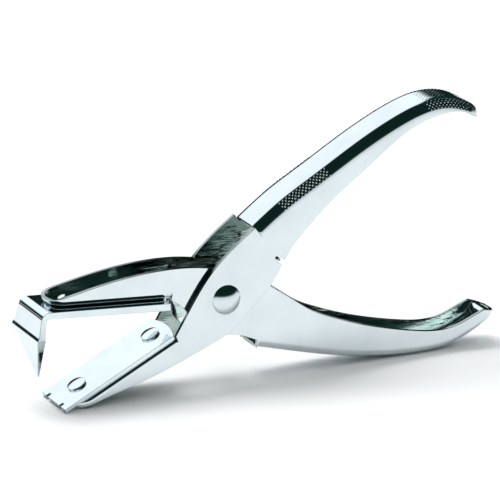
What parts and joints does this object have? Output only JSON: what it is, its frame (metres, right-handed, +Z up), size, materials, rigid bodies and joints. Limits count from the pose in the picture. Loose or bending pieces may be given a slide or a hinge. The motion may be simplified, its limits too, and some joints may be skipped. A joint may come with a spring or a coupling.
{
  "type": "staple remover",
  "caption": "Plier-type desk staple remover: two crossed sheet-steel levers on a rivet, a pointed claw above a flat slotted anvil plate, and a spring that opens them.",
  "frame": {"origin": "bottom centre of the bounding box, on the surface the tool stands on, in the middle of its width", "axes": "+Z up, +X along the length from the jaws to the handles, Y along the pivot rivet"},
  "size_m": [0.1664, 0.0196, 0.0856],
  "materials": {
    "lever_chrome": "bright mirror plating, diamond knurl on the upper grip",
    "plate_chrome": "bright plating over ground flats",
    "rivet_chrome": "bright plated rivet heads",
    "sleeve_steel": "plain turned steel",
    "spring_steel": "drawn spring wire, lightly oiled"
  },
  "bodies": {
    "outer": {"outer_lever": "lever_chrome", "pivot_rivet": "rivet_chrome", "spacer_sleeve": "sleeve_steel", "anvil_plate": "plate_chrome", "anvil_rivet_rear": "rivet_chrome", "anvil_rivet_front": "rivet_chrome", "return_spring": "spring_steel"},
    "inner": {"inner_lever": "lever_chrome", "claw_plate": "plate_chrome", "claw_rivet_rear": "rivet_chrome", "claw_rivet_front": "rivet_chrome"}
  },
  "joints": [
    {"name": "lever_hinge", "type": "hinge", "parent": "outer", "child": "inner", "pos_m": [-0.0176, 0, 0.0292], "axis": [0, -1, 0], "range_deg": [0, 22], "stiffness_Nm_per_rad": 0.3, "springref_deg": -57.3, "deforming": ["return_spring"]}
  ]
}
